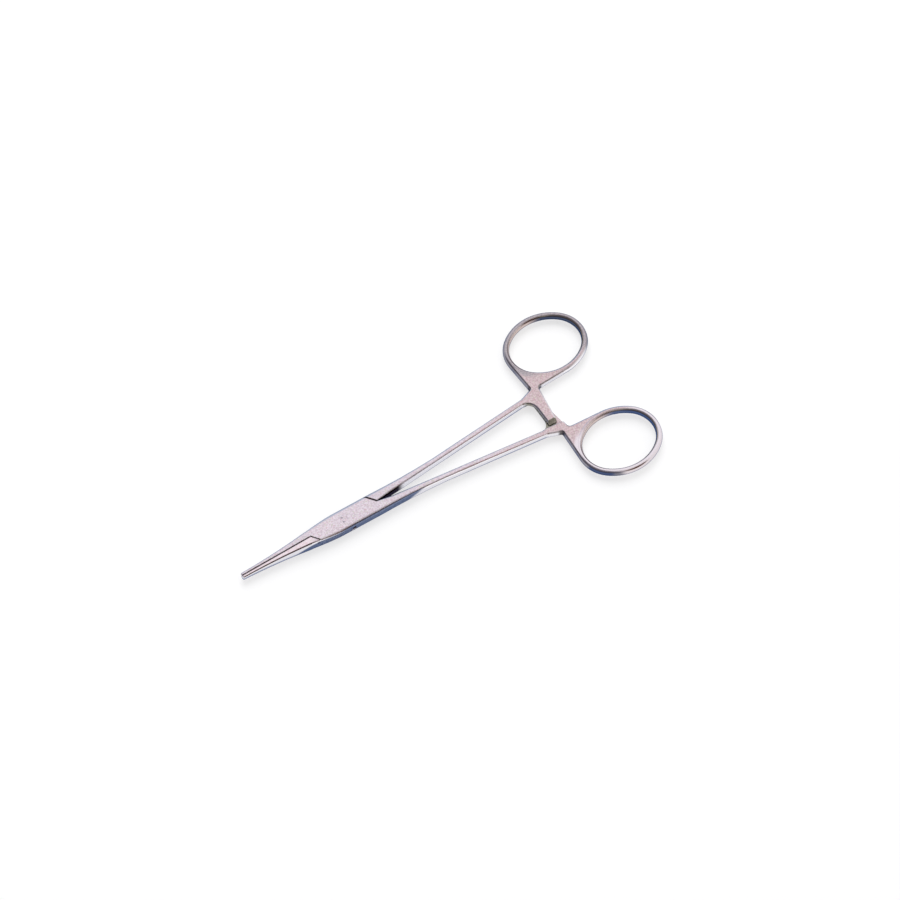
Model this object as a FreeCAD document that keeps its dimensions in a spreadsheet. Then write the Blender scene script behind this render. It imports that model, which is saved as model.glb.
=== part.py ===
import FreeCAD, Part
import math
import os
import Sketcher

# Hemostat forceps, closed on the last ratchet step.
# The origin is on the hinge axis, at the underside of the box lock.
# The jaws point to -X, the finger rings lie at +X and +Z is up.
# The tongue half has its jaw at -Y and its ring at +Y, and the box half is its counterpart.

SIZES = [
    ("box_half_width", 3.3, "box lock, from the middle to one side"),
    ("box_thickness", 3.6, "box lock, face to face"),
    ("box_side_radius", 1.2, "rounding of the box lock's long sides"),
    ("box_front", 2.0, "from the hinge forward to where the box starts to narrow"),
    ("cheek_reach", 10.69, "from the hinge to the corner of a cheek on the middle line"),
    ("cheek_side_reach", 8.1, "from the hinge to the corner of a cheek at the side"),
    ("parting_gap", 0.03, "from the middle plane to each closing face"),
    ("lock_gap", 0.05, "running clearance of the tongue in the box"),
    ("stop_gap", 0.08, "clearance left at the open stop"),
    ("tongue_thickness", 1.1, "tongue that passes through the box"),
    ("open_angle", 60, "how far the halves open, in degrees"),
    ("pin_radius", 1.0, "box lock pin"),
    ("pin_gap", 0.03, "running clearance of the pin in the tongue"),
    ("shoulder_width", 3.1, "half width where the box narrows, first section"),
    ("shoulder_station", 5.0, "its distance in front of the hinge"),
    ("shoulder_radius", 1.05, "its edge rounding"),
    ("cheek_width", 2.62, "half width where the box narrows, second section"),
    ("cheek_station", 8.5, "its distance in front of the hinge"),
    ("cheek_radius", 0.75, "its edge rounding"),
    ("jaw_root_gap", 0.81, "from a cheek's corner forward to the root of the jaws"),
    ("jaw_root_width", 2.15, "one jaw's width at its root"),
    ("jaw_root_radius", 0.55, "edge rounding of the box where it meets the jaws"),
    ("jaw_root_bevel", 0.32, "outer edge bevel at a jaw's root"),
    ("jaw_middle_station", 22.0, "from the hinge to the middle of the jaws"),
    ("jaw_middle_width", 1.22, "one jaw's width there"),
    ("jaw_middle_thickness", 2.5, "one jaw's thickness there"),
    ("jaw_middle_bevel", 0.28, "outer edge bevel there"),
    ("jaw_length", 32.8, "from the hinge to the tips"),
    ("jaw_tip_width", 0.84, "one jaw's width at its tip"),
    ("jaw_tip_thickness", 1.5, "one jaw's thickness at its tip"),
    ("jaw_tip_bevel", 0.22, "outer edge bevel there"),
    ("tip_plan_radius", 0.75, "rounding of a tip seen from above"),
    ("tip_side_radius", 0.55, "rounding of a tip seen from the side"),
    ("serration_pitch", 0.62, "one tooth of the gripping face"),
    ("serration_depth", 0.24, "its depth"),
    ("serration_count", 30, "teeth on each jaw"),
    ("serration_start", 31.4, "from the hinge to the outermost tooth"),
    ("shank_near_station", 31.0, "a point on a shank's middle line, from the hinge"),
    ("shank_near_offset", 2.87, "its distance from the middle plane"),
    ("shank_far_station", 64.0, "the end of the shank, from the hinge"),
    ("shank_far_offset", 6.11, "its distance from the middle plane"),
    ("heel_gap", 4.3, "from a cheek's corner back to a shank's first section"),
    ("heel_width", 2.7, "its width"),
    ("heel_thickness", 3.47, "its thickness"),
    ("heel_radius", 1.0, "its edge rounding"),
    ("heel_inner_radius", 0.3, "inner edge rounding where the shank leaves the box"),
    ("crotch_station", 20.0, "a shank's second section, where the gap between them opens"),
    ("crotch_width", 2.2, "its width"),
    ("crotch_thickness", 3.3, "its thickness"),
    ("crotch_radius", 0.85, "its edge rounding"),
    ("bow_station", 25.5, "a shank's third section, where its outer side turns outward"),
    ("bow_width", 1.88, "its width"),
    ("bow_thickness", 3.08, "its thickness"),
    ("bow_radius", 0.77, "its edge rounding"),
    ("shank_near_width", 1.68, "shank width at the near point"),
    ("shank_near_thickness", 2.85, "shank thickness at the near point"),
    ("shank_near_radius", 0.7, "edge rounding at the near point"),
    ("shank_width", 1.62, "shank width at its end"),
    ("shank_far_thickness", 2.2, "thickness at its end"),
    ("shank_far_radius", 0.3, "edge rounding at its end"),
    ("neck_thickness", 2.3, "plate that carries the ratchet arm and the ring"),
    ("neck_bevel", 0.42, "bevel along that plate's edges"),
    ("neck_start", 60.5, "where that plate starts inside the shank"),
    ("neck_inset", 0.05, "how far its sides lie inside the shank there"),
    ("hidden_radius", 0.6, "its corners inside the shank and the ring wire"),
    ("flare_station", 62.6, "where the shank's outer side turns out to the ring"),
    ("flare_radius", 8.0, "radius of that turn"),
    ("neck_outer_x", 67.15, "outer notch between shank and ring"),
    ("neck_outer_y", 8.4, "its distance from the middle plane"),
    ("neck_inner_x", 69.6, "inner notch between arm and ring"),
    ("neck_inner_y", 7.9, "its distance from the middle plane"),
    ("neck_outer_radius", 0.5, "radius of the outer notch"),
    ("neck_inner_radius", 1.1, "radius of the inner notch"),
    ("arm_left", 65.3, "side of the ratchet arm that faces the jaws"),
    ("arm_right", 67.9, "side of the ratchet arm that faces the rings"),
    ("arm_reach", 4.6, "how far the arm's foot passes the middle plane"),
    ("arm_top_reach", 3.2, "how far the arm's top face passes it"),
    ("arm_root_radius", 3.4, "large fillet from the shank into the arm"),
    ("arm_corner_radius", 0.6, "corners of the arm's end"),
    ("arm_gap", 0.08, "from the middle plane to each arm's toothed face"),
    ("step_gap", 0.1, "from a shank's inner side to the step where its arm gets thinner"),
    ("ratchet_pitch", 1.35, "one step of the ratchet"),
    ("ratchet_depth", 0.42, "depth of a ratchet tooth"),
    ("ratchet_count", 3, "steps of the ratchet"),
    ("ratchet_start", 3.4, "first tooth's distance past the middle plane"),
    ("ring_x", 79.3, "ring centre, from the hinge"),
    ("ring_y", 18.99, "ring centre, from the middle plane"),
    ("ring_half_length", 11.9, "wire middle line, half its length"),
    ("ring_half_width", 9.8, "wire middle line, half its width"),
    ("ring_end_radius", 8.6, "wire middle line, radius of its two ends"),
    ("wire_width", 1.85, "ring wire seen from above"),
    ("wire_thickness", 2.45, "ring wire seen from the side"),
    ("web_inset", 0.13, "how far the plate's sides lie inside the wire's outer side"),
    ("cut_margin", 2.0, "how far a cut passes outside the metal"),
]


class Size:
    """A number together with the expression that works it out from the sheet."""

    def __init__(self, value, text):
        self.value = value
        self.text = text

    def joined(self, other, sign, value):
        return Size(value, "(%s %s %s)" % (self.text, sign, other.text))

    def __add__(self, other):
        other = as_size(other)
        return self.joined(other, "+", self.value + other.value)

    def __radd__(self, other):
        return as_size(other) + self

    def __sub__(self, other):
        other = as_size(other)
        return self.joined(other, "-", self.value - other.value)

    def __rsub__(self, other):
        return as_size(other) - self

    def __mul__(self, other):
        other = as_size(other)
        return self.joined(other, "*", self.value * other.value)

    def __rmul__(self, other):
        return as_size(other) * self

    def __truediv__(self, other):
        other = as_size(other)
        return self.joined(other, "/", self.value / other.value)

    def __neg__(self):
        return as_size(0) - self


def as_size(number):
    return number if isinstance(number, Size) else Size(float(number), repr(float(number)))


def cosine(angle):
    return Size(math.cos(math.radians(angle.value)), "cos(%s * 1deg)" % angle.text)


def sine(angle):
    return Size(math.sin(math.radians(angle.value)), "sin(%s * 1deg)" % angle.text)


def make_sheet(doc):
    """Write the driving sizes to the sheet and return them by name."""
    sheet = doc.addObject("Spreadsheet::Sheet", "Sizes")
    sizes = {}
    for row, (name, value, note) in enumerate(SIZES, start=1):
        sheet.set("A%d" % row, name)
        sheet.set("B%d" % row, str(value))
        sheet.set("C%d" % row, note)
        sheet.setAlias("B%d" % row, name)
        sizes[name] = Size(float(value), "Sizes." + name)
    doc.recompute()
    return sizes


def bind(thing, prop, size):
    """Give a property its value and tie it to the sheet."""
    size = as_size(size)
    setattr(thing, prop, size.value)
    thing.setExpression(prop, size.text)


def new_body(name):
    return DOC.addObject("PartDesign::Body", name)


def new_sketch(body, name, plane, offset):
    """A sketch on one of the body's own planes, moved along the plane's normal."""
    sketch = body.newObject("Sketcher::SketchObject", name)
    for feature in body.Origin.OriginFeatures:
        if feature.Role == plane:
            sketch.AttachmentSupport = [(feature, "")]
    sketch.MapMode = "FlatFace"
    offset = as_size(offset)
    sketch.AttachmentOffset.Base.z = offset.value
    sketch.setExpression("AttachmentOffset.Base.z", offset.text)
    return sketch


def add_dimension(sketch, name, size, *parts):
    """A named sketch constraint tied to the sheet."""
    index = sketch.addConstraint(Sketcher.Constraint(*parts, size.value))
    sketch.renameConstraint(index, name)
    sketch.setExpression("Constraints." + name, size.text)


def arc_between(centre, radius, start, end):
    """The anticlockwise arc from one point to another."""
    circle = Part.Circle(centre, FreeCAD.Vector(0, 0, 1), radius)
    first = math.atan2(start.y - centre.y, start.x - centre.x)
    last = math.atan2(end.y - centre.y, end.x - centre.x)
    if last < first:
        last += 2 * math.pi
    return Part.ArcOfCircle(circle, first, last)


def draw_outline(sketch, corners):
    """A closed outline through corners (x, y, radius), with a radius of None left sharp."""
    count = len(corners)
    spots = [FreeCAD.Vector(as_size(x).value, as_size(y).value, 0) for x, y, radius in corners]
    entries, exits, arcs = [], [], []
    for index, (x, y, radius) in enumerate(corners):
        here = spots[index]
        back = (spots[index - 1] - here).normalize()
        ahead = (spots[(index + 1) % count] - here).normalize()
        if radius is None:
            entries.append(here)
            exits.append(here)
            arcs.append(None)
            continue
        size = as_size(radius).value
        half = back.getAngle(ahead) / 2
        reach = size / math.tan(half)
        centre = here + (back + ahead).normalize() * (size / math.sin(half))
        entries.append(here + back * reach)
        exits.append(here + ahead * reach)
        turns_left = ahead.cross(back).z > 0
        start, end = (entries[-1], exits[-1]) if turns_left else (exits[-1], entries[-1])
        arcs.append((arc_between(centre, size, start, end), turns_left))
    marks = [sketch.addGeometry(Part.Point(spot), True) for spot in spots]
    sides = []
    for index in range(count):
        side = Part.LineSegment(exits[index], entries[(index + 1) % count])
        sides.append(sketch.addGeometry(side, False))
    for index, (x, y, radius) in enumerate(corners):
        mark, before, after = marks[index], sides[index - 1], sides[index]
        add_dimension(sketch, "x%d" % index, as_size(x), "DistanceX", -1, 1, mark, 1)
        add_dimension(sketch, "y%d" % index, as_size(y), "DistanceY", -1, 1, mark, 1)
        if radius is None:
            sketch.addConstraint(Sketcher.Constraint("Coincident", before, 2, mark, 1))
            sketch.addConstraint(Sketcher.Constraint("Coincident", after, 1, mark, 1))
            continue
        shape, turns_left = arcs[index]
        arc = sketch.addGeometry(shape, False)
        first, last = (1, 2) if turns_left else (2, 1)
        sketch.addConstraint(Sketcher.Constraint("PointOnObject", mark, 1, before))
        sketch.addConstraint(Sketcher.Constraint("PointOnObject", mark, 1, after))
        sketch.addConstraint(Sketcher.Constraint("Tangent", before, 2, arc, first))
        sketch.addConstraint(Sketcher.Constraint("Tangent", arc, last, after, 1))
        add_dimension(sketch, "r%d" % index, as_size(radius), "Radius", arc)


def draw_oval(sketch, name, x, y, half_length, half_width, end_radius):
    """A lengthways oval of four arcs, with its centre, half axes and end radius from the sheet."""
    reach = half_length - end_radius
    rise = half_width - end_radius
    side_radius = (reach * reach / rise + half_width + end_radius) / 2
    turn = math.atan2(side_radius.value - half_width.value, reach.value)
    sag = side_radius.value - half_width.value
    spots = [(x.value + reach.value, y.value), (x.value, y.value - sag),
             (x.value - reach.value, y.value), (x.value, y.value + sag)]
    bounds = [-turn, turn, math.pi - turn, math.pi + turn, 2 * math.pi - turn]
    arcs = []
    for index, (across, along) in enumerate(spots):
        radius = side_radius if index % 2 else end_radius
        circle = Part.Circle(FreeCAD.Vector(across, along, 0), FreeCAD.Vector(0, 0, 1), radius.value)
        arc = Part.ArcOfCircle(circle, bounds[index], bounds[index + 1])
        arcs.append(sketch.addGeometry(arc, False))
    for index, arc in enumerate(arcs):
        sketch.addConstraint(Sketcher.Constraint("Tangent", arc, 2, arcs[(index + 1) % 4], 1))
    for label, arc, centre in (("right", arcs[0], x + reach), ("left", arcs[2], x - reach)):
        add_dimension(sketch, "%s_%s_x" % (name, label), centre, "DistanceX", -1, 1, arc, 3)
        add_dimension(sketch, "%s_%s_y" % (name, label), y, "DistanceY", -1, 1, arc, 3)
        add_dimension(sketch, "%s_%s_radius" % (name, label), end_radius, "Radius", arc)
    for label, arc in (("upper", arcs[1]), ("lower", arcs[3])):
        add_dimension(sketch, "%s_%s_radius" % (name, label), side_radius, "Radius", arc)


def add_pad(body, name, sketch, length):
    pad = body.newObject("PartDesign::Pad", name)
    pad.Profile = sketch
    bind(pad, "Length", length)
    return pad


def add_loft(body, name, sketches):
    loft = body.newObject("PartDesign::AdditiveLoft", name)
    loft.Profile = sketches[0]
    loft.Sections = sketches[1:]
    return loft


def bevel_flat_edges(body, name, base, heights, size):
    """Bevel every edge of a plate that lies in its top or bottom face."""
    DOC.recompute()
    picked = []
    for index, edge in enumerate(base.Shape.Edges, start=1):
        box = edge.BoundBox
        for height in heights:
            if abs(box.ZMin - height.value) < SNAP and abs(box.ZMax - height.value) < SNAP:
                picked.append("Edge%d" % index)
    bevel = body.newObject("PartDesign::Chamfer", name)
    bevel.Base = (base, picked)
    bind(bevel, "Size", size)
    return bevel


def prism(name, plane, corners, start, length):
    """A body of one straight pad, as a cutting tool or a block."""
    body = new_body(name)
    sketch = new_sketch(body, name + "_outline", plane, start)
    draw_outline(sketch, corners)
    add_pad(body, name + "_pad", sketch, length)
    return body


def repeated_prism(name, plane, corners, start, length, axis, spread, copies):
    """A prism and its copies, evenly spaced along one of the sketch's axes."""
    body = prism(name, plane, corners, start, length)
    pattern = body.newObject("PartDesign::LinearPattern", name + "_row")
    pattern.Originals = [body.Group[-2]]
    pattern.Direction = (body.Group[0], [axis])
    bind(pattern, "Length", spread)
    pattern.Occurrences = int(copies.value)
    pattern.setExpression("Occurrences", copies.text)
    body.Tip = pattern
    return body


def joined(name, parts):
    """Several bodies as one."""
    fuse = DOC.addObject("Part::MultiFuse", name)
    fuse.Shapes = parts
    fuse.Refine = True
    return fuse


def level(thickness):
    """Lowest height of a layer of this thickness about the middle height."""
    return MIDDLE - thickness / 2


def cross_section(body, name, station, edges, thickness, radii):
    """A rounded section across the instrument, between two sideways distances."""
    low, high = level(thickness), MIDDLE + thickness / 2
    inner, outer = edges
    inner_radius, outer_radius = radii
    sketch = new_sketch(body, name, "YZ_Plane", station)
    corners = [(inner, low, inner_radius), (outer, low, outer_radius),
               (outer, high, outer_radius), (inner, high, inner_radius)]
    draw_outline(sketch, corners)
    return sketch


def jaw_root():
    """Distance in front of the hinge of the root of the jaws."""
    return S["cheek_reach"] + S["jaw_root_gap"]


def make_core(name):
    """The box lock's full block, narrowing towards the jaws."""
    s = S
    body = new_body(name)
    stations = [(-s["box_front"], s["box_half_width"], s["box_side_radius"]),
                (-s["shoulder_station"], s["shoulder_width"], s["shoulder_radius"]),
                (-s["cheek_station"], s["cheek_width"], s["cheek_radius"]),
                (-jaw_root(), s["jaw_root_width"], s["jaw_root_radius"])]
    sketches = []
    for number, (station, width, radius) in enumerate(stations):
        section = cross_section(body, "%s_section_%d" % (name, number), station,
                                (-width, width), s["box_thickness"], (radius, radius))
        sketches.append(section)
    add_loft(body, name + "_nose", sketches)
    block = cross_section(body, name + "_block_section", -s["box_front"],
                          (-s["box_half_width"], s["box_half_width"]), s["box_thickness"],
                          (s["box_side_radius"], s["box_side_radius"]))
    add_pad(body, name + "_block", block, s["cheek_reach"] + s["box_front"])
    return body


def make_jaw(name, side):
    """One jaw with bevelled outer edges, from its root at the box to just past its tip."""
    s = S
    body = new_body(name)
    inner = -side * (s["parting_gap"] - s["serration_depth"] / 2)
    stations = [(jaw_root(), s["jaw_root_width"], s["box_thickness"], s["jaw_root_bevel"]),
                (s["jaw_middle_station"], s["jaw_middle_width"], s["jaw_middle_thickness"],
                 s["jaw_middle_bevel"]),
                (s["jaw_length"], s["jaw_tip_width"], s["jaw_tip_thickness"], s["jaw_tip_bevel"])]
    sketches = []
    for number, (station, width, thickness, bevel) in enumerate(stations):
        low, high = level(thickness), MIDDLE + thickness / 2
        outer, shoulder = -side * width, -side * (width - bevel)
        section = new_sketch(body, "%s_section_%d" % (name, number), "YZ_Plane", -station)
        corners = [(inner, low), (shoulder, low), (outer, low + bevel), (outer, high - bevel),
                   (shoulder, high), (inner, high)]
        draw_outline(section, [(y, z, None) for y, z in corners])
        sketches.append(section)
    add_loft(body, name + "_form", sketches)
    return body


def shank_middle(station):
    """Sideways distance of a shank's middle line at a distance behind the hinge."""
    s = S
    run = s["shank_far_station"] - s["shank_near_station"]
    rise = s["shank_far_offset"] - s["shank_near_offset"]
    return s["shank_near_offset"] + (station - s["shank_near_station"]) * rise / run


def make_shank(name, side):
    """One shank: as deep as the box where it leaves it, then oval, then a long straight taper."""
    s = S
    body = new_body(name)
    root = cross_section(body, name + "_root", s["cheek_reach"],
                         (side * s["parting_gap"], side * s["box_half_width"]), s["box_thickness"],
                         (s["heel_inner_radius"], s["box_side_radius"]))
    stations = [("heel", s["cheek_reach"] + s["heel_gap"], s["heel_width"], s["heel_thickness"],
                 s["heel_radius"]),
                ("crotch", s["crotch_station"], s["crotch_width"], s["crotch_thickness"],
                 s["crotch_radius"]),
                ("bow", s["bow_station"], s["bow_width"], s["bow_thickness"], s["bow_radius"]),
                ("near", s["shank_near_station"], s["shank_near_width"], s["shank_near_thickness"],
                 s["shank_near_radius"]),
                ("far", s["shank_far_station"], s["shank_width"], s["shank_far_thickness"],
                 s["shank_far_radius"])]
    sections = [root]
    for label, station, width, thickness, radius in stations:
        inner = shank_middle(station) - s["shank_width"] / 2
        section = cross_section(body, "%s_%s" % (name, label), station,
                                (side * inner, side * (inner + width)), thickness, (radius, radius))
        sections.append(section)
    loft = add_loft(body, name + "_form", sections)
    loft.Ruled = True
    return body


def make_neck(name, side):
    """The flat plate behind the shank, with the ratchet arm and the web up to the ring."""
    s = S
    body = new_body(name)
    start = s["neck_start"]
    inset = s["neck_inset"]
    half = s["shank_width"] / 2
    hidden = s["hidden_radius"]

    def inner_side(station):
        return shank_middle(station) - half + inset

    def outer_side(station):
        return shank_middle(station) + half - inset

    rim = s["wire_width"] / 2 - s["web_inset"]
    ring_left = s["ring_x"] - s["ring_half_length"]
    ring_low = s["ring_y"] - s["ring_half_width"]
    corners = [
        (start, inner_side(start), hidden),
        (s["arm_left"], inner_side(s["arm_left"]), s["arm_root_radius"]),
        (s["arm_left"], -s["arm_reach"], s["arm_corner_radius"]),
        (s["arm_right"], -s["arm_reach"], s["arm_corner_radius"]),
        (s["neck_inner_x"], s["neck_inner_y"], s["neck_inner_radius"]),
        (s["ring_x"], ring_low - rim, hidden),
        (s["ring_x"], ring_low + s["wire_width"], hidden),
        (ring_left + s["wire_width"], s["ring_y"], hidden),
        (ring_left - rim, s["ring_y"], hidden),
        (s["neck_outer_x"], s["neck_outer_y"], s["neck_outer_radius"]),
        (s["flare_station"], outer_side(s["flare_station"]), s["flare_radius"]),
        (start, outer_side(start), hidden),
    ]
    low = level(s["neck_thickness"])
    sketch = new_sketch(body, name + "_outline", "XY_Plane", low)
    draw_outline(sketch, [(x, side * y, radius) for x, y, radius in corners])
    plate = add_pad(body, name + "_plate", sketch, s["neck_thickness"])
    top = low + s["neck_thickness"]
    bevel_flat_edges(body, name + "_edges", plate, (low, top), s["neck_bevel"])
    opening = new_sketch(body, name + "_opening_outline", "XY_Plane", low - s["cut_margin"])
    draw_oval(opening, "opening", s["ring_x"], side * s["ring_y"],
              s["ring_half_length"], s["ring_half_width"], s["ring_end_radius"])
    pocket = body.newObject("PartDesign::Pocket", name + "_opening")
    pocket.Profile = opening
    pocket.Reversed = True
    bind(pocket, "Length", s["neck_thickness"] + s["cut_margin"] * 2)
    return body


def make_ring(name, side):
    """The finger ring: oval wire, with narrow flats in place of a round, swept along an oval."""
    s = S
    body = new_body(name)
    path = new_sketch(body, name + "_path", "XY_Plane", MIDDLE)
    draw_oval(path, "path", s["ring_x"], side * s["ring_y"], s["ring_half_length"],
              s["ring_half_width"], s["ring_end_radius"])
    wire = new_sketch(body, name + "_wire", "XZ_Plane", -side * s["ring_y"])
    corners = []
    for step in range(WIRE_SIDES):
        across = math.cos(math.radians((step + 0.5) * 360 / WIRE_SIDES)) * WIRE_SPREAD
        up = math.sin(math.radians((step + 0.5) * 360 / WIRE_SIDES)) * WIRE_SPREAD
        corners.append((s["ring_x"] - s["ring_half_length"] + s["wire_width"] / 2 * across,
                        MIDDLE + s["wire_thickness"] / 2 * up, None))
    draw_outline(wire, corners)
    ring = body.newObject("PartDesign::AdditivePipe", name + "_form")
    ring.Profile = wire
    ring.Spine = path
    return body


def through_cut(name, corners):
    """A cutting tool through the whole thickness, drawn from above."""
    height = S["box_thickness"] + S["cut_margin"] * 2
    return prism(name, "XY_Plane", corners, -S["cut_margin"], height)


def cheek_edge(y, gap):
    """Distance behind the hinge of the cheek's slanted edge, at a sideways distance."""
    s = S
    slant = (s["cheek_reach"] - s["cheek_side_reach"]) / s["box_half_width"]
    return s["cheek_reach"] + gap - y * slant


def turned(corners):
    """The same corners after half a turn about the hinge."""
    return [(-as_size(x), -as_size(y), radius) for x, y, radius in corners]


def jaw_cuts(name, side, shift):
    """Cuts that shape a jaw: its flat ends of the closing face, its serrations and its tip."""
    s = S
    gap = s["parting_gap"]
    margin = s["cut_margin"]
    tip = s["jaw_length"]
    face = s["serration_depth"] / 2 - gap
    pitch = s["serration_pitch"]
    row_end = s["serration_start"] - pitch * s["serration_count"]
    tools = []
    inset = pitch / 4
    for label, near, far in (("root", s["cheek_reach"], row_end - shift + inset),
                             ("tip", s["serration_start"] - shift - inset, tip + margin)):
        corners = [(-near, -side * gap, None), (-far, -side * gap, None),
                   (-far, side * margin, None), (-near, side * margin, None)]
        tools.append(through_cut("%s_%s_flat" % (name, label), corners))
    overlap = s["serration_depth"] / 6
    half = pitch / 2 * (s["serration_depth"] + overlap) / s["serration_depth"]
    centre = -(s["serration_start"] - shift) + pitch / 2
    groove = [(centre - half, side * (face + overlap), None),
              (centre, side * (face - s["serration_depth"]), None),
              (centre + half, side * (face + overlap), None)]
    height = s["box_thickness"] + margin * 2
    tools.append(repeated_prism(name + "_serrations", "XY_Plane", groove, -margin, height,
                                "H_Axis", pitch * (s["serration_count"] - 1), s["serration_count"]))
    width = s["jaw_tip_width"]
    plan = [(-(tip + margin), side * margin, None), (-tip, side * margin, None),
            (-tip, -side * width, s["tip_plan_radius"]),
            (-(tip - margin), -side * (width + s["neck_inset"] * 4), None),
            (-(tip - margin), -side * (width + margin), None),
            (-(tip + margin), -side * (width + margin), None)]
    tools.append(through_cut(name + "_tip_plan", plan))
    low, high = level(s["jaw_tip_thickness"]), MIDDLE + s["jaw_tip_thickness"] / 2
    past = s["jaw_tip_thickness"] / 6
    profile = [(-(tip + margin), low - margin, None), (-(tip - margin), low - margin, None),
               (-(tip - margin), low - past, None), (-tip, low, s["tip_side_radius"]),
               (-tip, high, s["tip_side_radius"]), (-(tip - margin), high + past, None),
               (-(tip - margin), high + margin, None), (-(tip + margin), high + margin, None)]
    tools.append(prism(name + "_tip_profile", "XZ_Plane", profile, -margin, margin * 2))
    return tools


def ratchet_cuts(name, side):
    """Cuts that leave half of the ratchet arm's thickness, bevel its end and cut its teeth."""
    s = S
    margin = s["cut_margin"]
    face = MIDDLE + side * s["arm_gap"]
    start = s["neck_start"]
    length = s["arm_right"] + margin - start
    depth = s["neck_thickness"] / 2 + margin

    def step(station):
        """Where the arm gets thinner, along the shank's inner side."""
        return side * (shank_middle(station) - s["shank_width"] / 2 - s["step_gap"])

    past = -side * (s["arm_reach"] + margin)
    split = [(start, step(start), None), (start, past, None), (start + length, past, None),
             (start + length, step(start + length), None)]
    tools = [prism(name + "_split", "XY_Plane", split, face - depth if side > 0 else face, depth)]
    top = MIDDLE + side * (s["neck_thickness"] / 2)
    run = s["arm_reach"] - s["arm_top_reach"]
    bevel = [(-side * s["arm_reach"], MIDDLE, None),
             (-side * (s["arm_top_reach"] - run), top + side * (s["neck_thickness"] / 2), None),
             (-side * (s["arm_reach"] + margin), top + side * (s["neck_thickness"] / 2), None),
             (-side * (s["arm_reach"] + margin), MIDDLE, None)]
    tools.append(prism(name + "_bevel", "YZ_Plane", bevel, start, length))
    root = face - side * s["arm_gap"]
    tooth = [(-side * s["ratchet_start"], root, None),
             (-side * s["ratchet_start"], face + side * s["ratchet_depth"], None),
             (-side * (s["ratchet_start"] - s["ratchet_pitch"]), root, None)]
    spread = s["ratchet_pitch"] * (s["ratchet_count"] - 1)
    teeth = repeated_prism(name + "_teeth", "YZ_Plane", tooth, start, length, "H_Axis",
                           spread, s["ratchet_count"])
    teeth.Group[-1].Reversed = side < 0
    tools.append(teeth)
    return tools


def pin_bore(name, radius):
    """A bore on the hinge axis, through both faces."""
    bore = DOC.addObject("Part::Cylinder", name)
    bind(bore, "Radius", radius)
    bind(bore, "Height", S["box_thickness"] + S["cut_margin"] * 2)
    bore.setExpression("Placement.Base.z", (-S["cut_margin"]).text)
    return bore


def cut_half(name, blank, tools):
    """The finished half: its joined blank less its joined cutting tools."""
    half = DOC.addObject("Part::Cut", name)
    half.Label = name
    half.Base = blank
    half.Tool = joined(name + "_tools", tools)
    half.Refine = True
    return half


def make_tongue_half():
    """The half whose thin tongue passes through the box of the other."""
    s = S
    name = "tongue_half"
    side = 1
    gap = s["parting_gap"]
    margin = s["cut_margin"]
    half = s["box_half_width"]
    outside = half + margin
    blank = joined(name + "_blank", [make_core("tongue_core"), make_jaw("tongue_jaw", side),
                                     make_shank("tongue_shank", side),
                                     make_neck("tongue_neck", side),
                                     make_ring("tongue_ring", side)])
    front = jaw_root()
    hub = [(-front, -gap, None), (-half, -gap, None), (-half, half, half),
           (margin / 4, half, None), (margin / 4, outside, None), (-front, outside, None)]
    recess = [(cheek_edge(-gap, s["lock_gap"]), -gap, None),
              (cheek_edge(outside, s["lock_gap"]), outside, None), (-half, outside, None)]
    recess = recess + turned(recess)
    layer = (s["box_thickness"] - s["tongue_thickness"]) / 2
    tools = [
        through_cut("tongue_front_clearance", hub),
        through_cut("tongue_rear_clearance", turned(hub)),
        prism("tongue_recess_below", "XY_Plane", recess, -margin, margin + layer),
        prism("tongue_recess_above", "XY_Plane", recess, s["box_thickness"] - layer, margin + layer),
        pin_bore("tongue_bore", s["pin_radius"] + s["pin_gap"]),
    ]
    tools += jaw_cuts(name, side, as_size(0))
    tools += ratchet_cuts(name, side)
    return cut_half(name, blank, tools)


def make_box_half():
    """The half whose two cheeks make the box round the tongue."""
    s = S
    name = "box_half"
    side = -1
    gap = s["parting_gap"]
    margin = s["cut_margin"]
    outside = s["box_half_width"] + margin
    blank = joined(name + "_blank", [make_core("box_core"), make_jaw("box_jaw", side),
                                     make_shank("box_shank", side),
                                     make_neck("box_neck", side),
                                     make_ring("box_ring", side)])
    far = jaw_root()
    corner = [(cheek_edge(-gap, 0), -gap, None), (far, -gap, None),
              (far, outside, None), (cheek_edge(outside, 0), outside, None)]
    reach = s["box_half_width"] + s["stop_gap"]
    stop_angle = 90 - s["open_angle"]

    def stop_wall(y):
        """Where the stop wall of the slot is, at a sideways distance."""
        return (reach + y * sine(stop_angle)) / cosine(stop_angle)

    slot = [(stop_wall(-gap), -gap, None), (far, -gap, None), (far, outside, None),
            (-stop_wall(-outside), outside, None)]
    slot = slot + turned(slot)
    height = s["tongue_thickness"] + s["lock_gap"] * 2
    tools = [
        through_cut("box_rear_corner", corner),
        through_cut("box_front_corner", turned(corner)),
        prism("box_slot", "XY_Plane", slot, level(height), height),
        pin_bore("box_bore", s["pin_radius"]),
    ]
    tools += jaw_cuts(name, side, s["serration_pitch"] / 2)
    tools += ratchet_cuts(name, side)
    return cut_half(name, blank, tools)


def make_pin():
    """The box lock pin, flush with both cheeks."""
    pin = DOC.addObject("Part::Cylinder", "box_lock_pin")
    pin.Label = "box_lock_pin"
    bind(pin, "Radius", S["pin_radius"])
    bind(pin, "Height", S["box_thickness"])
    return pin


def check_document():
    """Stop if any object failed or came out invalid."""
    for thing in DOC.Objects:
        if "Invalid" in thing.State or "Error" in thing.State:
            raise RuntimeError("%s failed: %s" % (thing.Label, thing.State))


def export(part):
    shape = part.Shape
    if shape.isNull() or not shape.isValid() or len(shape.Solids) != 1:
        raise RuntimeError("%s has no single valid solid" % part.Label)
    shape.exportStep("parts/%s.step" % part.Label)
    print(part.Label, "volume %.2f" % shape.Volume, "faces", len(shape.Faces))


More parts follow.
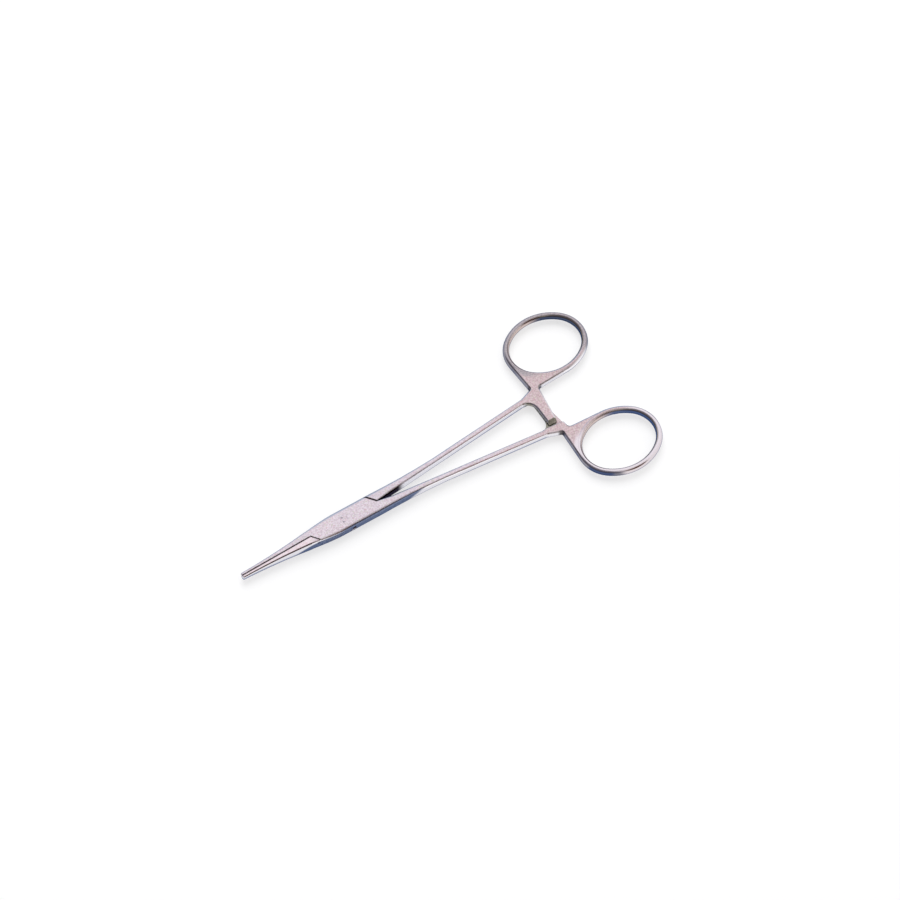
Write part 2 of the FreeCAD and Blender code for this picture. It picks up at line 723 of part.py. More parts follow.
SNAP = 1e-4
WIRE_SIDES = 16
WIRE_SPREAD = 1 / math.cos(math.radians(180 / WIRE_SIDES))
DOC = FreeCAD.newDocument("hemostat_forceps")
S = make_sheet(DOC)
MIDDLE = S["box_thickness"] / 2
PARTS = [make_box_half(), make_tongue_half(), make_pin()]
DOC.recompute()
check_document()
os.makedirs("parts", exist_ok=True)
for sub_part in PARTS:
    export(sub_part)
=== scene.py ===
"""Looks of the hemostat forceps: satin steel halves on a plain pale floor, seen as in the photograph."""
import math

import bpy
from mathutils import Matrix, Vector


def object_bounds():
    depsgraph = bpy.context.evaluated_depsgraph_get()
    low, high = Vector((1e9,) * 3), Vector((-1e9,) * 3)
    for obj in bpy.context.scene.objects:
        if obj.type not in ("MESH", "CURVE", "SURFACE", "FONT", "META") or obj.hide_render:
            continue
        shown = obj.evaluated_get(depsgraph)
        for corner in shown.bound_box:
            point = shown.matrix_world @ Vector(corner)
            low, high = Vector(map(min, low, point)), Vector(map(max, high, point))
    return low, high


MM = 0.001
WHITE = (1.0, 1.0, 1.0, 1.0)

# Camera, measured from the photograph on a 900 by 900 frame.
ELEVATION = 1.02356
HEADING = 0.56394
TARGET = Vector((37.877, 4.859, 0.0)) * MM
DISTANCE = 806.34 * MM
PIXELS_PER_MM = 3.541
FRAME_PIXELS = 900
SENSOR = 36.0
CLIP_START, CLIP_END = 0.01, 50.0

# Lines of the box lock seen from above, in mm.
CHEEK_TIP = 10.69
CHEEK_SIDE = 8.1
BOX_HALF_WIDTH = 3.3
MIDDLE = 1.8
JAW_TIP = 32.8

# Middle line of the ring wires, in mm.
RING_X = 79.3
RING_Y = 18.99
RING_HALF_LENGTH = 11.9
RING_HALF_WIDTH = 9.8

# Pairs of numbers say where a look sets in: nothing of it at the first and all of it at the second.
# Along the forceps, in mm.
JAWS = (-9.0, -12.0)
JAW_ROOTS = (-CHEEK_TIP + 1, -CHEEK_TIP - 1)
CROTCH_START, CROTCH_END = (7.0, 9.0), (20.5, 18.0)
SHANKS_START, SHANKS_END = (22.0, 28.0), (64.0, 62.0)
RUSSET_START, RUSSET_END = (28.0, 42.0), (63.0, 58.0)
WARM_PART = (42.0, 70.0)
PLATES = (62.0, 64.0)
ARMS_START, ARMS_END = (62.5, 64.0), (67.7, 67.2)

# Across the forceps, in mm, with the lower ring of the picture at -Y.
HALVES = (-4.0, 4.0)
NEAR_JAW = (0.0, -0.05)
BRIGHT_SIDE = (-17.0, -21.0)
PATCH_SIDE = (-21.0, -22.6)

# Outward from the middle plane on either half, in mm.
FLANKS = (1.3, 1.9)
CROTCH_SIDE = (2.2, 1.6)
SLOPE_START, SLOPE_END = (3.0, 3.2), (5.6, 5.2)
BED_SIDE = (5.4, 4.8)
WIRE_SIDE = (10.0, 13.5)
HOLLOW_SIDE = (13.0, 16.0)

# By height, in mm: on the part, from its middle, and above or below the painted bounds further down.
WALL_SHADE_HEIGHT = (2.75, 2.5)
PATCH_HEIGHT = (2.8, 2.5)
BED_HEIGHT = (0.75, 0.55)
ABOVE_JAW_FOOT = (0.25, -0.15)
ABOVE_SHANK_FOOT = (0.95, 0.65)
BELOW_BRIM = (-0.2, 0.35)
ABOVE_HEEL = (-0.4, 1.0)

# By the radius in a ring, where the middle line of the wire is 1.
WIRE_RADIUS = (1.16, 1.08)
BRIGHT_RADIUS = (0.99, 1.03)
HOLLOW_RADIUS = (1.0, 0.96)
WALL_SHADE_RADIUS = (1.02, 0.97)
FRONT_RADIUS = (0.98, 1.03)
PATCH_RADIUS = (1.0, 1.04)

# Along a ring, from -1 at the end towards the jaws to 1 at the far end.
BRIGHT_PART = (-0.55, -0.3)
HOLLOW_PART = (-0.1, -0.4)
WALL_SHADE_PART = (-0.1, 0.35)
PATCH_PART = (-0.56, -0.7)

# By how level a face is: 1 is level and 0 is a wall.
LEVEL = (0.55, 0.93)
ROUND_TOP = (0.5, 1.0)
WALL = (0.9, 0.6)
STEEP_WALL = (0.85, 0.6)
CROTCH_WALL = (0.8, 0.5)
BEVEL_START, BEVEL_END = (0.35, 0.5), (0.93, 0.85)

# By the way a face turns, or an edge leans: a component of its normal.
NEAR_FACE, FAR_FACE = (-0.3, -0.5), (0.3, 0.5)
SLOPE_FACE = (0.3, 0.5)
HOLLOW_FACE = (0.2, 0.5)
FRONT_FACE = (-0.35, -0.75)
FAR_LEAN, FAR_SLANT = (0.06, 0.35), 0.4
NEAR_LEAN = (-0.2, -0.5)
RUSSET_LEAN = (-0.15, -0.45)
UNDER_LEAN = (-0.03, -0.2)

# How much of a look shows: behind the jaws and on them, and for the others everywhere.
BROWN_SHARE = (0.15, 0.4)
NEAR_BEVEL_SHARE = (0.2, 0.9)
UNDER_SHARE = 0.95
WIRE_GRAIN_SHARE = 0.3

# Noises of the blasted steel: scale per mm, detail and roughness.
GRAIN = (2.0, 4.0, 0.75)
CAST = (1.5, 3.0, 0.7)
CAST_SHIFT = (31.0, 7.0, 3.0)
CLOUD = (0.16, 3.0, 0.55)
SOFT_GRAIN, SHARP_GRAIN = (0.38, 0.62), (0.4, 0.6)
GREEN_CAST, RED_CAST = (0.55, 0.66), (0.45, 0.34)
CLOUDED = (0.35, 0.7)

# Relief of the surface: pits of the blasting and marks of the grinding, drawn out along the forceps.
PITS, PITS_SHARE = (9.0, 3.0, 0.6), 0.6
GRIND, GRIND_SHARE = (1.0, 3.0, 0.6), 0.4
GRIND_STRETCH = (0.35, 7.0, 7.0)
BUMP_STRENGTH = 0.22
BUMP_DEPTH = 0.02 * MM

# Roughness of satin faces and of smoother walls, how much smoother the wire is, and its change with the cloud.
SATIN, PIN_SATIN, POLISH = 0.40, 0.38, 0.24
WIRE_POLISH = 0.14
CLOUD_GLOSS = (0.3, 0.7, -0.04, 0.05)

# Width of the worn edges by the pin and elsewhere, and the distance from the hinge, in mm, where that changes.
PIN_EDGE, EDGE = 0.10 * MM, 0.34 * MM
PIN_EDGE_ZONE = (1.4, 1.8)
EDGE_SAMPLES = 8

# Painted bounds in mm: start and end along the forceps, and the height at each.
JAW_FOOT = (-10.0, -33.0, 1.0, 1.85)
SHANK_FOOT = (5.0, 64.0, 0.1, 0.7)
BRIM_FRONT = (-22.0, -7.5, 0.0, 3.1)
BRIM_BACK = (-4.0, 6.0, 0.0, 1.0)
HEEL = (15.0, 27.5, -0.9, 3.6)

# Where shank, arm and ring meet, on either half, and the reach of the painted shade in the corner there, in mm.
SHADED_CORNERS = ((67.15, 8.4), (69.6, 7.9))
CORNER_SHADE_REACH = (1.5, 0.6)

# Small dark spots, two by the pin and one where a cheek's end meets the side: place, radius and paint.
SPECKS = (((-0.38, 0.39, 3.6), 0.42, "pin_speck"),
          ((-0.57, -0.95, 3.6), 0.42, "pin_speck"),
          ((-9.5, -2.6, 2.6), 0.75, "cheek_speck"))
SPECK_CORE = 0.3

# Dark lines seen from above: start, end and half width. They are darkest within the core.
SEAMS = (((-JAW_TIP, 0.0), (-CHEEK_TIP, 0.0), 0.30),
         ((-CHEEK_TIP, 0.0), (-CHEEK_SIDE, -BOX_HALF_WIDTH), 0.28),
         ((CHEEK_TIP, 0.0), (CHEEK_SIDE, BOX_HALF_WIDTH), 0.42))
SEAM_CORE = 0.12

# Tint of the steel where it is seen at a glance.
EDGE_TINT = (0.30, 0.36, 0.50, 1.0)

# Dark places of the room: direction, cosine of the angle to their outer and inner edge, and display colour.
DARK_PLACES = (((-0.87, -0.20, 0.10), 0.30, 0.62, (140, 136, 144)),
               ((0.22, -0.88, 0.40), 0.90, 0.965, (96, 66, 56)))

# Lamp: direction from the forceps, distance and side in metres, and watts.
KEY_LAMP = ((0.35, 0.75, 1.0), 1.2, 0.9, 9.0)

# Floor: half its side, its gap below the forceps, its surface, and its glow in reflections and to the camera.
FLOOR_REACH = 4.0
FLOOR_GAP = 0.02 * MM
FLOOR_COLOUR = (0.93, 0.93, 0.94, 1.0)
FLOOR_ROUGHNESS = 0.9
FLOOR_SPECULAR = 0.1
GLOW_REFLECTED, GLOW_SEEN = 0.75, 0.62

# Smooth shading: how near points are joined, and the angle in degrees from which an edge stays sharp.
WELD_DISTANCE = 1e-6
CREASE_ANGLE = 32


def srgb(red, green, blue):
    """An 8-bit display colour as a linear RGBA tuple."""
    linear = []
    for channel in (red, green, blue):
        value = channel / 255
        linear.append(value / 12.92 if value <= 0.04045 else ((value + 0.055) / 1.055) ** 2.4)
    return (*linear, 1.0)


PAINT = {
    "satin_tint": srgb(242, 231, 241),
    "satin_shade": srgb(210, 195, 206),
    "pin_tint": srgb(244, 232, 240),
    "pin_shade": srgb(206, 190, 202),
    "cloud": srgb(220, 214, 228),
    "warm_shade": srgb(194, 168, 172),
    "warm_tint": srgb(224, 203, 207),
    "near_jaw_highlight": srgb(255, 238, 244),
    "green_cast": srgb(206, 210, 180),
    "red_cast": srgb(214, 168, 172),
    "box_far_edge_reflection": srgb(176, 184, 202),
    "jaw_far_edge_reflection": srgb(154, 165, 188),
    "near_edge_dark_reflection": srgb(96, 70, 68),
    "near_edge_russet_reflection": srgb(172, 112, 98),
    "wall_reflection": srgb(255, 252, 255),
    "wall_underside_shade": srgb(134, 144, 168),
    "near_bevel_reflection": srgb(92, 68, 66),
    "far_bevel_reflection": srgb(168, 178, 200),
    "lower_wire_lit": srgb(236, 229, 238),
    "upper_wire_shaded": srgb(162, 156, 164),
    "wire_grain": srgb(240, 226, 226),
    "wire_flank_shade": srgb(92, 92, 106),
    "flank_highlight": srgb(222, 211, 214),
    "wire_hollow_shade": srgb(70, 66, 74),
    "lower_navy": srgb(66, 84, 124),
    "upper_navy": srgb(62, 72, 96),
    "olive": srgb(140, 128, 102),
    "beige": srgb(216, 197, 190),
    "front_wall_shade": srgb(150, 147, 156),
    "ring_cast_shadow": srgb(62, 78, 116),
    "jaw_foot": srgb(150, 159, 184),
    "shank_foot": srgb(158, 166, 190),
    "flank_reflection_shade": srgb(74, 90, 126),
    "flank_reflection_tint": srgb(100, 114, 146),
    "corner_shade": srgb(70, 60, 54),
    "forged_and_shaded_dark": srgb(138, 136, 126),
    "forged_and_shaded_pale": srgb(176, 172, 158),
    "seam": srgb(40, 26, 26),
    "pin_speck": srgb(134, 124, 146),
    "cheek_speck": srgb(56, 54, 76),
    "crotch": srgb(68, 57, 55),
}

# How much of the steel below a layer covers at most. The layers that aren't named here cover all of it.
COVER = {
    "cloud": 0.35, "warm": 0.85, "near_jaw_highlight": 0.6, "green_cast": 0.5, "red_cast": 0.5,
    "far_edge_reflection": 0.8, "near_edge_russet_reflection": 0.5, "far_bevel_reflection": 0.8,
    "wire": 0.9, "ring_wall_shade": 0.95, "front_wall_shade": 0.85, "ring_cast_shadow": 0.92,
    "jaw_foot": 0.85, "shank_foot": 0.85, "flank_reflection": 0.92, "corner_shade": 0.9,
    "pin_speck": 0.75, "cheek_speck": 0.75,
}


class Nodes:
    """Short calls for one node tree. An input is a socket to link, a constant or the name of a paint."""

    def __init__(self, tree):
        self.tree = tree
        tree.nodes.clear()

    def add(self, kind, inputs=None, **settings):
        node = self.tree.nodes.new(kind)
        for name, value in settings.items():
            setattr(node, name, value)
        for key, value in (inputs or {}).items():
            if isinstance(value, bpy.types.NodeSocket):
                self.tree.links.new(value, node.inputs[key])
            else:
                node.inputs[key].default_value = PAINT[value] if isinstance(value, str) else value
        return node

    def math(self, operation, first, second=0.0):
        return self.add("ShaderNodeMath", {0: first, 1: second}, operation=operation).outputs[0]

    def product(self, first, *others):
        for other in others:
            first = self.math("MULTIPLY", first, other)
        return first

    def hypot(self, first, second):
        """Length of a vector from its two components."""
        square = self.math("ADD", self.product(first, first), self.product(second, second))
        return self.math("SQRT", square)

    def ramp(self, value, low, high, out_low=0.0, out_high=1.0):
        """A smooth step of value from low to high."""
        node = self.add("ShaderNodeMapRange", {"Value": value, "From Min": low, "From Max": high,
                                               "To Min": out_low, "To Max": out_high},
                        interpolation_type="SMOOTHSTEP")
        return node.outputs["Result"]

    def mix(self, factor, first, second):
        return self.add("ShaderNodeMix", {0: factor, 6: first, 7: second}, data_type="RGBA").outputs[2]

    def noise(self, vector, scale, detail, roughness):
        node = self.add("ShaderNodeTexNoise", {"Vector": vector, "Scale": scale, "Detail": detail,
                                               "Roughness": roughness})
        return node.outputs["Fac"]

    def vector(self, operation, first, second):
        return self.add("ShaderNodeVectorMath", {0: first, 1: second}, operation=operation).outputs

    def components(self, vector):
        return tuple(self.add("ShaderNodeSeparateXYZ", {0: vector}).outputs)


class SteelNodes(Nodes):
    """The nodes of one steel: where on the part a point lies, how its face turns, and its colour so far."""

    def __init__(self, tree):
        super().__init__(tree)
        place = self.add("ShaderNodeTexCoord").outputs
        self.mm = self.vector("MULTIPLY", place["Object"], (1 / MM, 1 / MM, 1 / MM))[0]
        self.x, self.y, self.z = self.components(self.mm)
        self.sideways = self.math("ABSOLUTE", self.y)
        self.facing_x, self.facing_y, facing_z = self.components(place["Normal"])
        self.upright = self.math("ABSOLUTE", facing_z)
        self.face = self.ramp(self.upright, *LEVEL)
        self.wall = self.ramp(self.upright, *WALL)
        self.steep_wall = self.ramp(self.upright, *STEEP_WALL)
        self.grain = self.noise(self.mm, *GRAIN)
        self.cloud = self.noise(self.mm, *CLOUD)

        # Place in a ring, and the mask of its wire.
        self.across = self.math("DIVIDE", self.math("SUBTRACT", self.x, RING_X), RING_HALF_LENGTH)
        along = self.math("DIVIDE", self.math("SUBTRACT", self.sideways, RING_Y), RING_HALF_WIDTH)
        self.radius = self.hypot(self.across, along)
        self.wire = self.product(self.ramp(self.sideways, *WIRE_SIDE), self.ramp(self.radius, *WIRE_RADIUS))

        # The normal with rounded edges, and the way it leans on the part.
        width = self.ramp(self.hypot(self.x, self.y), *PIN_EDGE_ZONE, PIN_EDGE, EDGE)
        self.edge = self.add("ShaderNodeBevel", {"Radius": width}, samples=EDGE_SAMPLES).outputs[0]
        turned = self.add("ShaderNodeVectorTransform", {0: self.edge}, vector_type="NORMAL",
                          convert_from="WORLD", convert_to="OBJECT").outputs[0]
        self.lean_x, self.lean_y, self.lean_z = self.components(turned)
        self.colour = None

    def mottled(self, shade, tint, step):
        """Two paints in the pattern of the grain."""
        return self.mix(self.ramp(self.grain, *step), shade, tint)

    def paint(self, layer, *masks, tone=None):
        """Lay a layer over the colour where its masks are, in its own paint or in the tone given."""
        if layer in COVER:
            masks += (COVER[layer],)
        self.colour = self.mix(self.product(*masks), self.colour, layer if tone is None else tone)


def line_distance(nodes, x, y, start, end):
    """Distance in mm from the point x, y to a straight line between two points, seen from above."""
    (x0, y0), (x1, y1) = start, end
    length = math.hypot(x1 - x0, y1 - y0)
    along_x, along_y = (x1 - x0) / length, (y1 - y0) / length
    dx, dy = nodes.math("SUBTRACT", x, x0), nodes.math("SUBTRACT", y, y0)
    along = nodes.math("ADD", nodes.product(dx, along_x), nodes.product(dy, along_y))
    along = nodes.math("MINIMUM", nodes.math("MAXIMUM", along, 0.0), length)
    return nodes.hypot(nodes.math("SUBTRACT", dx, nodes.product(along, along_x)),
                       nodes.math("SUBTRACT", dy, nodes.product(along, along_y)))


def paint_grain(steel, tint, shade):
    """Grain of the blasted steel, about a third of a millimetre wide, with faint green and red casts."""
    steel.colour = steel.mottled(shade, tint, SOFT_GRAIN)
    steel.paint("cloud", steel.ramp(steel.cloud, *CLOUDED))
    steel.paint("warm", steel.ramp(steel.x, *WARM_PART),
                tone=steel.mottled("warm_shade", "warm_tint", SHARP_GRAIN))
    # The near jaw painted lighter: a painted highlight, as it is lit more than the far jaw.
    steel.paint("near_jaw_highlight", steel.ramp(steel.y, *NEAR_JAW), steel.ramp(steel.x, *JAW_ROOTS))
    cast = steel.noise(steel.vector("ADD", steel.mm, CAST_SHIFT)[0], *CAST)
    steel.paint("green_cast", steel.ramp(cast, *GREEN_CAST))
    steel.paint("red_cast", steel.ramp(cast, *RED_CAST))


def paint_edges(steel):
    """Painted reflections on the edges: pale blue on the far edges, dark brown and russet on the near ones, and on
    the bevels; side walls painted bright as a reflection, with painted shade on their lower edge.
    """
    x, upright = steel.x, steel.upright
    away = steel.math("SUBTRACT", steel.lean_y, steel.product(steel.lean_x, FAR_SLANT))
    # Pale blue painted reflection on the far edges.
    steel.paint("far_edge_reflection", steel.ramp(away, *FAR_LEAN), tone=steel.mix(steel.ramp(x, *JAWS), "box_far_edge_reflection", "jaw_far_edge_reflection"))
    # Dark brown and russet painted reflections along the near edges.
    steel.paint("near_edge_dark_reflection", steel.ramp(steel.lean_y, *NEAR_LEAN), steel.ramp(x, *JAWS, *BROWN_SHARE))
    steel.paint("near_edge_russet_reflection", steel.ramp(steel.lean_y, *RUSSET_LEAN), steel.ramp(x, *RUSSET_START),
                steel.ramp(x, *RUSSET_END))
    # Side walls painted bright as a painted reflection of the floor, with painted shade on their downward lower
    # edge.
    side = steel.mix(steel.ramp(steel.lean_z, *UNDER_LEAN, 0.0, UNDER_SHARE), "wall_reflection", "wall_underside_shade")
    steel.colour = steel.mix(steel.face, side, steel.colour)
    # Dark painted reflection on the near bevels, strongest on the jaws, and a pale painted reflection on the far
    # bevels.
    bevel = steel.product(steel.ramp(upright, *BEVEL_START), steel.ramp(upright, *BEVEL_END))
    steel.paint("near_bevel_reflection", bevel, steel.ramp(steel.facing_y, *NEAR_FACE),
                steel.ramp(x, *JAWS, *NEAR_BEVEL_SHARE))
    steel.paint("far_bevel_reflection", bevel, steel.ramp(steel.facing_y, *FAR_FACE))


def paint_rings(steel):
    """Round wire of the rings: the upper ring painted greyer as painted shade, painted shade on the flanks but a
    painted highlight on the near one, and painted shade in the hollow.
    """
    across, radius = steel.across, steel.radius
    # The upper ring's wire painted greyer than the lower one: painted shade.
    top = steel.mix(steel.ramp(steel.y, *HALVES), "lower_wire_lit", "upper_wire_shaded")
    top = steel.mix(steel.product(steel.ramp(steel.grain, *SHARP_GRAIN), WIRE_GRAIN_SHARE), top, "wire_grain")
    # Painted shade on the wire's flanks, and a painted highlight on the near outer flank of the lower ring.
    bright = steel.product(steel.ramp(steel.y, *BRIGHT_SIDE), steel.ramp(across, *BRIGHT_PART),
                           steel.ramp(radius, *BRIGHT_RADIUS))
    flank = steel.mix(bright, "wire_flank_shade", "flank_highlight")
    steel.paint("wire", steel.wire, tone=steel.mix(steel.ramp(steel.upright, *ROUND_TOP), flank, top))
    # Painted shade on the inner wall of the hollow towards the jaws.
    steel.paint("wire_hollow_shade", steel.ramp(steel.facing_x, *HOLLOW_FACE), steel.ramp(radius, *HOLLOW_RADIUS),
                steel.ramp(across, *HOLLOW_PART), steel.ramp(steel.sideways, *HOLLOW_SIDE))


def paint_ring_walls(steel):
    """Painted light and shade on the ring walls: inside the rings a beige painted highlight, then olive painted
    shade over a navy painted shadow, painted grey shade on the walls towards the jaws, and a navy painted shadow
    outside.
    """
    across, radius = steel.across, steel.radius
    # Inside the rings: a beige painted highlight, then olive painted shade over a navy painted shadow low down.
    navy = steel.mix(steel.ramp(steel.y, *HALVES), "lower_navy", "upper_navy")
    wall_shade = steel.mix(steel.ramp(steel.z, *WALL_SHADE_HEIGHT), "olive", navy)
    wall_shade = steel.mix(steel.ramp(across, *WALL_SHADE_PART), "beige", wall_shade)
    steel.paint("ring_wall_shade", steel.ramp(radius, *WALL_SHADE_RADIUS), steel.wall, tone=wall_shade)
    # Painted grey shade on the walls that face the jaws.
    steel.paint("front_wall_shade", steel.ramp(steel.facing_x, *FRONT_FACE), steel.ramp(steel.x, *PLATES),
                steel.ramp(radius, *FRONT_RADIUS))
    # A navy painted shadow low on the outer wall of the lower ring, at its end towards the jaws.
    steel.paint("ring_cast_shadow", steel.ramp(radius, *PATCH_RADIUS), steel.ramp(steel.y, *PATCH_SIDE),
                steel.ramp(steel.z, *PATCH_HEIGHT), steel.wall, steel.ramp(across, *PATCH_PART))


def paint_feet(steel):
    """Painted shade: a grey lower edge along the walls of the jaws and shanks."""
    x, z = steel.x, steel.z
    above_jaw_foot = steel.math("SUBTRACT", z, steel.ramp(x, *JAW_FOOT))
    steel.paint("jaw_foot", steel.ramp(above_jaw_foot, *ABOVE_JAW_FOOT), steel.ramp(x, *JAWS),
                steel.steep_wall)
    above_shank_foot = steel.math("SUBTRACT", z, steel.ramp(x, *SHANK_FOOT))
    steel.paint("shank_foot", steel.ramp(above_shank_foot, *ABOVE_SHANK_FOOT), steel.ramp(x, *SHANKS_START),
                steel.ramp(x, *SHANKS_END), steel.wall)


def paint_box_lock(steel):
    """Painted dark blue reflection and shade on the flanks of the box lock, and painted shade in the corners at
    the waists of the plates.
    """
    x, z = steel.x, steel.z
    brim = steel.math("ADD", steel.ramp(x, *BRIM_FRONT), steel.ramp(x, *BRIM_BACK))
    below_brim = steel.math("SUBTRACT", brim, z)
    above_heel = steel.math("SUBTRACT", z, steel.ramp(x, *HEEL))
    # Painted dark blue reflection and shade on the lower flanks of the box lock.
    steel.paint("flank_reflection", steel.ramp(below_brim, *BELOW_BRIM), steel.ramp(above_heel, *ABOVE_HEEL),
                steel.steep_wall, steel.ramp(steel.sideways, *FLANKS),
                tone=steel.mottled("flank_reflection_shade", "flank_reflection_tint", SOFT_GRAIN))
    # Painted shade in the corners where shank, arm and ring meet.
    for corner_shade_x, corner_shade_y in SHADED_CORNERS:
        distance = steel.hypot(steel.math("SUBTRACT", x, corner_shade_x),
                               steel.math("SUBTRACT", steel.sideways, corner_shade_y))
        steel.paint("corner_shade", steel.ramp(distance, *CORNER_SHADE_REACH), steel.wall)


def paint_ratchet(steel):
    """The toothed beds and sloping ends of the ratchet arms, left rough from the forge and painted greyer as
    painted shade.
    """
    arms = steel.ramp(steel.x, *ARMS_START)
    height = steel.math("ABSOLUTE", steel.math("SUBTRACT", steel.z, MIDDLE))
    bed = steel.product(steel.ramp(height, *BED_HEIGHT), arms, steel.ramp(steel.sideways, *BED_SIDE),
                        steel.ramp(steel.x, *ARMS_END))
    turned_aside = steel.math("ABSOLUTE", steel.facing_y)
    slope = steel.product(steel.ramp(turned_aside, *SLOPE_FACE), arms,
                          steel.ramp(steel.sideways, *SLOPE_START), steel.ramp(steel.sideways, *SLOPE_END))
    # Rough forged steel, painted greyer as painted shade in the ratchet.
    steel.paint("forged_and_shaded", steel.math("MAXIMUM", bed, slope),
                tone=steel.mottled("forged_and_shaded_dark", "forged_and_shaded_pale", SHARP_GRAIN))


def paint_joints(steel):
    """Dark lines along the joints, small dark spots, and the unlit crotch between the shanks."""
    for start, end, half_width in SEAMS:
        distance = line_distance(steel, steel.x, steel.y, start, end)
        steel.paint("seam", steel.ramp(distance, half_width, SEAM_CORE), steel.face)
    for point, radius, layer in SPECKS:
        distance = steel.vector("DISTANCE", steel.mm, point)["Value"]
        steel.paint(layer, steel.ramp(distance, radius, radius * SPECK_CORE))
    steel.paint("crotch", steel.ramp(steel.x, *CROTCH_END), steel.ramp(steel.x, *CROTCH_START),
                steel.ramp(steel.sideways, *CROTCH_SIDE), steel.ramp(steel.upright, *CROTCH_WALL))


def surface(steel, satin):
    """Normal and roughness of the steel."""
    pits = steel.noise(steel.mm, *PITS)
    grind = steel.noise(steel.vector("MULTIPLY", steel.mm, GRIND_STRETCH)[0], *GRIND)
    height = steel.math("ADD", steel.product(pits, PITS_SHARE), steel.product(grind, GRIND_SHARE))
    bump = steel.add("ShaderNodeBump", {"Strength": BUMP_STRENGTH, "Distance": BUMP_DEPTH, "Height": height,
                                        "Normal": steel.edge}).outputs[0]
    level = steel.ramp(steel.face, 0.0, 1.0, POLISH, satin)
    level = steel.math("SUBTRACT", level, steel.product(steel.wire, WIRE_POLISH))
    return bump, steel.math("ADD", level, steel.ramp(steel.cloud, *CLOUD_GLOSS))


def steel_material(name, tint, shade, satin):
    """Surgical steel: blasted satin faces, side walls painted bright as a reflection, burnished rings, dark lines
    at the joints, and painted light and shade on edges, rings and flanks.
    """
    material = bpy.data.materials.new(name)
    material.use_nodes = True
    steel = SteelNodes(material.node_tree)
    paint_grain(steel, tint, shade)
    paint_edges(steel)
    paint_rings(steel)
    paint_ring_walls(steel)
    paint_feet(steel)
    paint_box_lock(steel)
    paint_ratchet(steel)
    paint_joints(steel)
    normal, rough = surface(steel, satin)
    shader = steel.add("ShaderNodeBsdfPrincipled", {"Base Color": steel.colour, "Metallic": 1.0,
                                                    "Roughness": rough, "Normal": normal,
                                                    "Specular Tint": EDGE_TINT})
    steel.add("ShaderNodeOutputMaterial", {"Surface": shader.outputs[0]})
    return material


def place_camera():
    """The photograph's camera: a long lens that looks down on the forceps from the near left."""
    ahead = Vector((math.sin(HEADING) * math.cos(ELEVATION), math.cos(HEADING) * math.cos(ELEVATION),
                    -math.sin(ELEVATION)))
    data = bpy.data.cameras.new("camera")
    data.sensor_width = SENSOR
    data.lens = PIXELS_PER_MM * DISTANCE / MM * SENSOR / FRAME_PIXELS
    data.clip_start, data.clip_end = CLIP_START, CLIP_END
    camera = bpy.data.objects.new("camera", data)
    camera.location = TARGET - ahead * DISTANCE
    camera.rotation_mode = "QUATERNION"
    camera.rotation_quaternion = ahead.to_track_quat("-Z", "Y")
    bpy.context.scene.collection.objects.link(camera)
    bpy.context.scene.camera = camera


def add_light(name, direction, distance, size, power):
    """A square area lamp that faces the forceps from a direction."""
    data = bpy.data.lights.new(name, "AREA")
    data.size = size
    data.energy = power
    lamp = bpy.data.objects.new(name, data)
    toward = Vector(direction).normalized()
    lamp.location = TARGET + toward * distance
    lamp.rotation_mode = "QUATERNION"
    lamp.rotation_quaternion = (-toward).to_track_quat("-Z", "Y")
    lamp.visible_glossy = False
    bpy.context.scene.collection.objects.link(lamp)


def make_world():
    """A white backdrop, and for reflections a bright room with dark places low down on the left and near side."""
    world = bpy.data.worlds.new("studio")
    world.use_nodes = True
    bpy.context.scene.world = world
    nodes = Nodes(world.node_tree)
    toward = nodes.add("ShaderNodeTexCoord").outputs["Generated"]
    room = WHITE
    for place, edge, core, tone in DARK_PLACES:
        cosine = nodes.vector("DOT_PRODUCT", toward, Vector(place).normalized())["Value"]
        room = nodes.mix(nodes.ramp(cosine, edge, core), room, srgb(*tone))
    seen = nodes.add("ShaderNodeLightPath").outputs
    backdrop = nodes.math("MAXIMUM", seen["Is Camera Ray"], seen["Is Transmission Ray"])
    background = nodes.add("ShaderNodeBackground", {"Color": nodes.mix(backdrop, room, WHITE), "Strength": 1.0})
    nodes.add("ShaderNodeOutputWorld", {"Surface": background.outputs[0]})


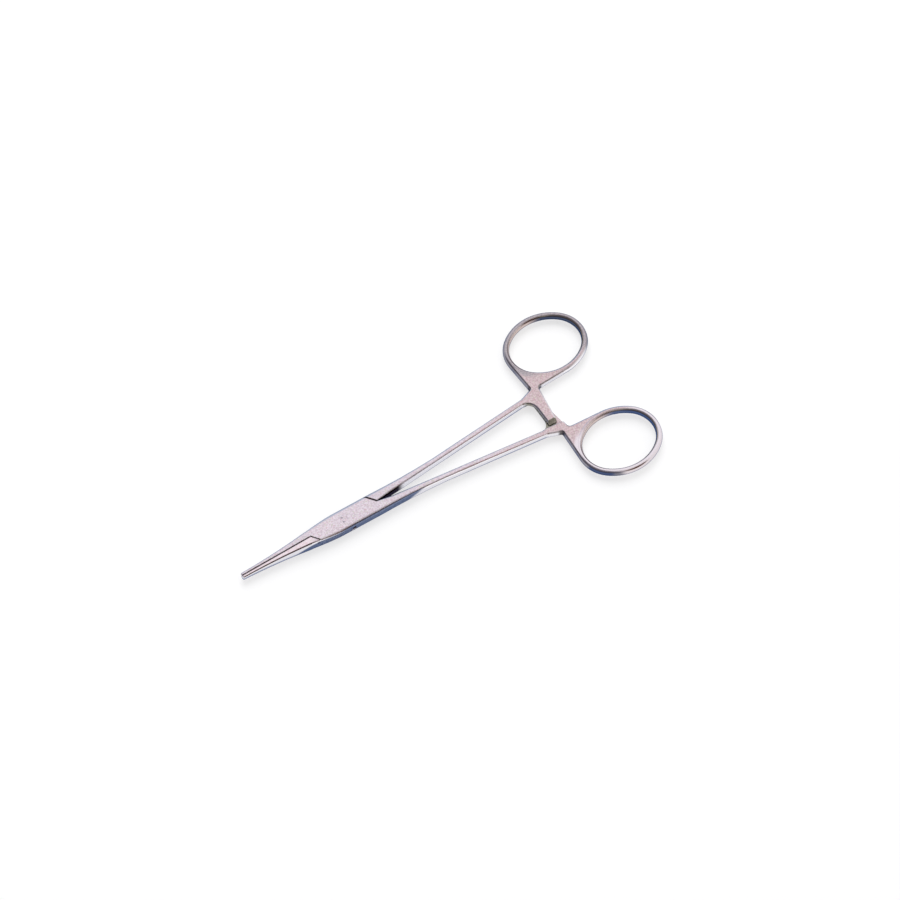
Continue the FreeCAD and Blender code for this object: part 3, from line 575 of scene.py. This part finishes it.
def make_floor(height):
    """The pale table that the forceps lie on."""
    mesh = bpy.data.meshes.new("floor")
    corners = [(-FLOOR_REACH, -FLOOR_REACH, height), (FLOOR_REACH, -FLOOR_REACH, height),
               (FLOOR_REACH, FLOOR_REACH, height), (-FLOOR_REACH, FLOOR_REACH, height)]
    mesh.from_pydata(corners, [], [(0, 1, 2, 3)])
    floor = bpy.data.objects.new("floor", mesh)
    bpy.context.scene.collection.objects.link(floor)
    material = bpy.data.materials.new("floor")
    material.use_nodes = True
    nodes = Nodes(material.node_tree)
    lit = nodes.add("ShaderNodeBsdfPrincipled", {"Base Color": FLOOR_COLOUR, "Roughness": FLOOR_ROUGHNESS,
                                                 "Specular IOR Level": FLOOR_SPECULAR})
    plain = nodes.add("ShaderNodeEmission", {"Color": WHITE, "Strength": 1.0})
    seen = nodes.add("ShaderNodeLightPath").outputs
    reflected = nodes.math("MAXIMUM", seen["Is Glossy Ray"], seen["Is Transmission Ray"])
    glow = nodes.math("MAXIMUM", nodes.product(reflected, GLOW_REFLECTED),
                      nodes.product(seen["Is Camera Ray"], GLOW_SEEN))
    shader = nodes.add("ShaderNodeMixShader", {0: glow, 1: lit.outputs[0], 2: plain.outputs[0]})
    nodes.add("ShaderNodeOutputMaterial", {"Surface": shader.outputs[0]})
    mesh.materials.append(material)


def dress(node, material):
    """Give a CAD node its steel, with smooth shading over its gentle curves."""
    node.data.materials.clear()
    node.data.materials.append(material)
    weld = node.modifiers.new("weld", "WELD")
    weld.merge_threshold = WELD_DISTANCE
    crease = node.modifiers.new("crease", "EDGE_SPLIT")
    crease.split_angle = math.radians(CREASE_ANGLE)


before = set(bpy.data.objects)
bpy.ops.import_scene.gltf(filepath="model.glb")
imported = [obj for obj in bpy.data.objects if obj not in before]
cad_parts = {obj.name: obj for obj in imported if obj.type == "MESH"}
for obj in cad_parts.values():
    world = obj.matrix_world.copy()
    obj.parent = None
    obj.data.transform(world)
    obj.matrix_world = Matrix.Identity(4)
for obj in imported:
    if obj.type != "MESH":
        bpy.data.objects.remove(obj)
cad_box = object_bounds()
place_camera()
make_world()
make_floor(cad_box[0].z - FLOOR_GAP)
add_light("key", *KEY_LAMP)

halves = steel_material("satin_steel", "satin_tint", "satin_shade", SATIN)
rivet = steel_material("pin_steel", "pin_tint", "pin_shade", PIN_SATIN)
for name, finish in (("box_half", halves), ("tongue_half", halves), ("box_lock_pin", rivet)):
    dress(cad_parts[name], finish)

scene = bpy.context.scene
scene.view_settings.view_transform = "Standard"
